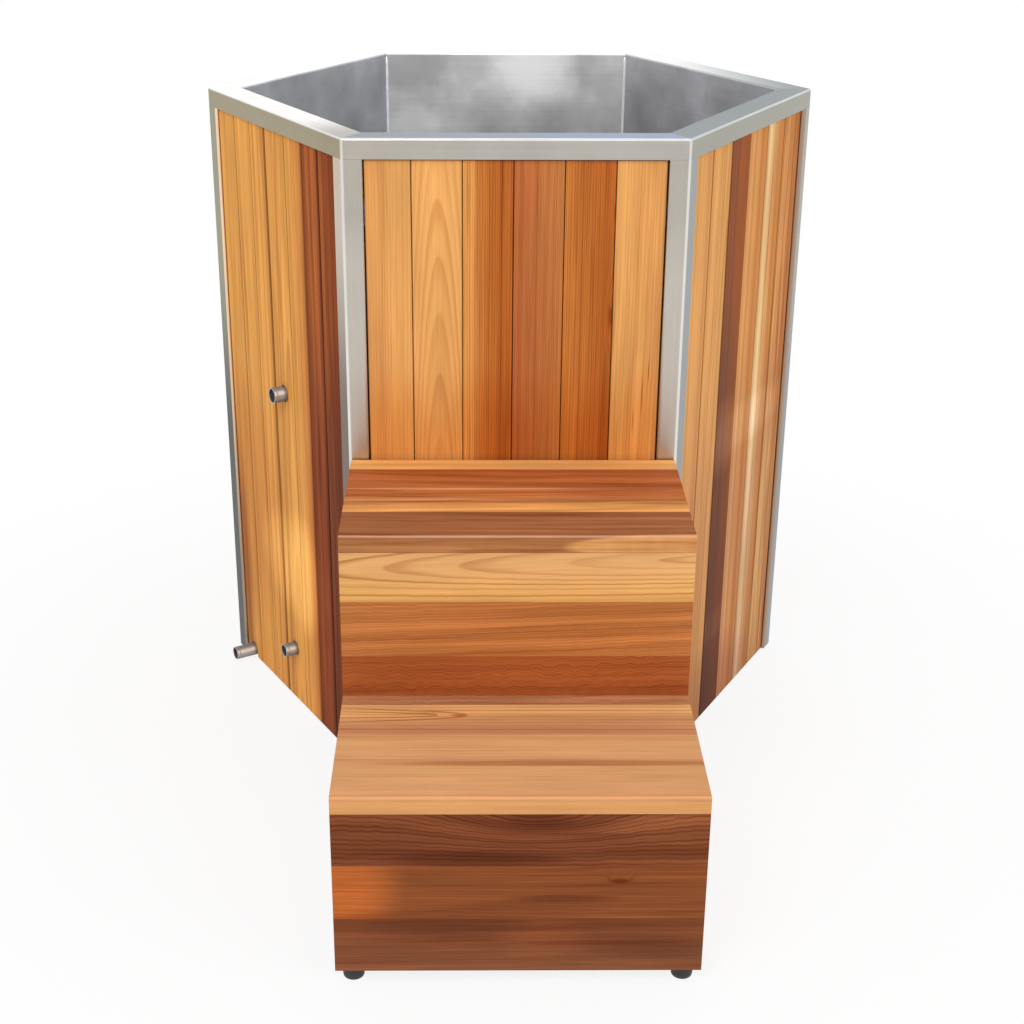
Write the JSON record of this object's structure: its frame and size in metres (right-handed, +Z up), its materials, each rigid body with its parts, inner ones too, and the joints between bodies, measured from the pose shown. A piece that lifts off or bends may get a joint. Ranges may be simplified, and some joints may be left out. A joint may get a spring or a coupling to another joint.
{
  "type": "cold plunge tub",
  "caption": "Hexagonal stainless steel cold plunge tub clad in vertical cedar boards, with pipe stubs on one side and a free-standing cedar step unit at its front.",
  "frame": {"origin": "on the floor under the middle of the tub, on the underside of the middle floor bearer", "axes": "+Z up; -Y out of the front side, where the step unit stands; +X to the right as seen from the front"},
  "size_m": [1.095, 1.5495, 1.127],
  "materials": {
    "tank_steel": "satin",
    "post_steel": "satin",
    "pipe_steel": "satin",
    "frame_steel": "matte",
    "screw_steel": "satin",
    "cladding_cedar": "satin",
    "step_cedar": "satin",
    "frame_cedar": "matte",
    "foam": "matte",
    "foot_rubber": "matte"
  },
  "bodies": {
    "tub": {"base_sill_back": "frame_steel", "base_sill_back_left": "frame_steel", "base_sill_back_right": "frame_steel", "base_sill_front": "frame_steel", "base_sill_front_left": "frame_steel", "base_sill_front_right": "frame_steel", "cladding_back": "cladding_cedar", "cladding_back_left": "cladding_cedar", "cladding_back_right": "cladding_cedar", "cladding_front": "cladding_cedar", "cladding_front_left": "cladding_cedar", "cladding_front_right": "cladding_cedar", "cladding_rails_low": "frame_steel", "cladding_rails_middle": "frame_steel", "cladding_rails_top": "frame_steel", "cladding_screws": "screw_steel", "corner_post_back_left": "post_steel", "corner_post_back_right": "post_steel", "corner_post_front_left": "post_steel", "corner_post_front_right": "post_steel", "corner_post_left": "post_steel", "corner_post_right": "post_steel", "drain_strainer": "tank_steel", "drain_stub": "pipe_steel", "drain_sump": "tank_steel", "floor_bearers": "frame_steel", "floor_insulation": "foam", "return_stub": "pipe_steel", "suction_stub": "pipe_steel", "tank_floor": "tank_steel", "tank_side_back": "tank_steel", "tank_side_back_left": "tank_steel", "tank_side_back_right": "tank_steel", "tank_side_front": "tank_steel", "tank_side_front_left": "tank_steel", "tank_side_front_right": "tank_steel", "wall_insulation": "foam"},
    "step_unit": {"foot_screws": "screw_steel", "foot_washers": "screw_steel", "lower_riser_boards": "step_cedar", "lower_tread_bearers": "frame_cedar", "lower_tread_boards": "step_cedar", "rubber_foot_front_left": "foot_rubber", "rubber_foot_front_right": "foot_rubber", "rubber_foot_rear_left": "foot_rubber", "rubber_foot_rear_right": "foot_rubber", "step_back_rails": "frame_cedar", "step_board_screws": "screw_steel", "step_front_posts": "frame_cedar", "step_mid_posts": "frame_cedar", "step_rear_posts": "frame_cedar", "step_side_boards_left": "step_cedar", "step_side_boards_right": "step_cedar", "tread_screws": "screw_steel", "upper_riser_boards": "step_cedar", "upper_tread_bearers": "frame_cedar", "upper_tread_boards": "step_cedar"}
  },
  "joints": [
    {"name": "step_slide", "type": "slide", "parent": "tub", "child": "step_unit", "axis": [0, -1, 0], "range_m": [0, 0.5]}
  ]
}
